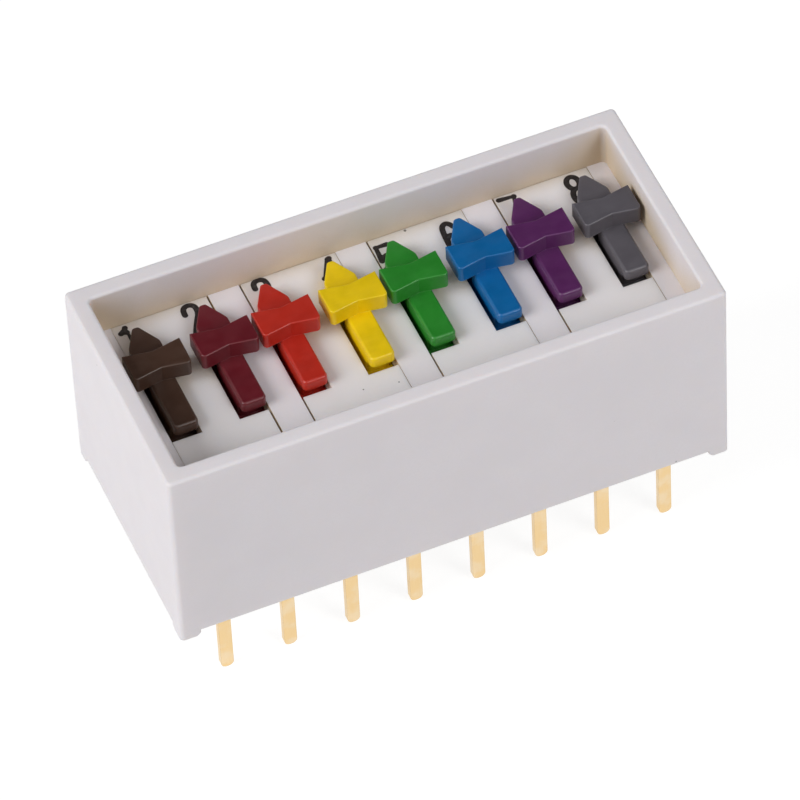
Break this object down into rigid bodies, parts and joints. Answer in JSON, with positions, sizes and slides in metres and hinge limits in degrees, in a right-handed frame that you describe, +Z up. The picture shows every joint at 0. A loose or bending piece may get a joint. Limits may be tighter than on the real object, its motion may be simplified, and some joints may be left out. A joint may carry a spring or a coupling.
{
  "type": "dip switch",
  "caption": "Through-hole slide DIP switch: white box with a recessed numbered floor and a row of coloured arrow-shaped sliders, two rows of flat gold pins below.",
  "frame": {"origin": "centre of the seating plane, where the four corner feet meet the circuit board, midway between the two rows of terminals", "axes": "+Z up out of the board, +X along the rows from pole 1 to pole 8, +Y from the front row to the back row, the way the arrows point and the sliders travel"},
  "size_m": [0.022, 0.0102, 0.0126],
  "materials": {
    "housing_plastic": "white moulded thermoplastic, fine satin",
    "block_plastic": "white moulded thermoplastic, fine satin",
    "base_plastic": "white moulded thermoplastic",
    "gold_plate": "gold over nickel, satin",
    "spring_alloy": "gold-plated spring alloy",
    "legend_ink": "black printed ink",
    "slider_brown": "brown moulded thermoplastic, satin gloss",
    "slider_maroon": "maroon moulded thermoplastic, satin gloss",
    "slider_orange_red": "orange-red moulded thermoplastic, satin gloss",
    "slider_yellow": "yellow moulded thermoplastic, satin gloss",
    "slider_green": "green moulded thermoplastic, satin gloss",
    "slider_blue": "blue moulded thermoplastic, satin gloss",
    "slider_violet": "violet moulded thermoplastic, satin gloss",
    "slider_grey": "grey moulded thermoplastic, satin gloss"
  },
  "bodies": {
    "case": {"housing": "housing_plastic", "base_plate": "base_plastic", "pole_block_1": "block_plastic", "pole_block_2": "block_plastic", "pole_block_3": "block_plastic", "pole_block_4": "block_plastic", "terminal_front_1": "gold_plate", "terminal_front_2": "gold_plate", "terminal_front_3": "gold_plate", "terminal_front_4": "gold_plate", "terminal_front_5": "gold_plate", "terminal_front_6": "gold_plate", "terminal_front_7": "gold_plate", "terminal_front_8": "gold_plate", "terminal_back_1": "gold_plate", "terminal_back_2": "gold_plate", "terminal_back_3": "gold_plate", "terminal_back_4": "gold_plate", "terminal_back_5": "gold_plate", "terminal_back_6": "gold_plate", "terminal_back_7": "gold_plate", "terminal_back_8": "gold_plate"},
    "pole_1": {"slider_1": "slider_brown", "contact_clip_1": "spring_alloy"},
    "pole_2": {"slider_2": "slider_maroon", "contact_clip_2": "spring_alloy"},
    "pole_3": {"slider_3": "slider_orange_red", "contact_clip_3": "spring_alloy"},
    "pole_4": {"slider_4": "slider_yellow", "contact_clip_4": "spring_alloy"},
    "pole_5": {"slider_5": "slider_green", "contact_clip_5": "spring_alloy"},
    "pole_6": {"slider_6": "slider_blue", "contact_clip_6": "spring_alloy"},
    "pole_7": {"slider_7": "slider_violet", "contact_clip_7": "spring_alloy"},
    "pole_8": {"slider_8": "slider_grey", "contact_clip_8": "spring_alloy"}
  },
  "joints": [
    {"name": "pole_1_slide", "type": "slide", "parent": "case", "child": "pole_1", "axis": [0, 1, 0], "range_m": [0, 0.0007]},
    {"name": "pole_2_slide", "type": "slide", "parent": "case", "child": "pole_2", "axis": [0, 1, 0], "range_m": [0, 0.0007]},
    {"name": "pole_3_slide", "type": "slide", "parent": "case", "child": "pole_3", "axis": [0, 1, 0], "range_m": [0, 0.0007]},
    {"name": "pole_4_slide", "type": "slide", "parent": "case", "child": "pole_4", "axis": [0, 1, 0], "range_m": [0, 0.0007]},
    {"name": "pole_5_slide", "type": "slide", "parent": "case", "child": "pole_5", "axis": [0, 1, 0], "range_m": [0, 0.0007]},
    {"name": "pole_6_slide", "type": "slide", "parent": "case", "child": "pole_6", "axis": [0, 1, 0], "range_m": [0, 0.0007]},
    {"name": "pole_7_slide", "type": "slide", "parent": "case", "child": "pole_7", "axis": [0, 1, 0], "range_m": [0, 0.0007]},
    {"name": "pole_8_slide", "type": "slide", "parent": "case", "child": "pole_8", "axis": [0, 1, 0], "range_m": [0, 0.0007]}
  ]
}
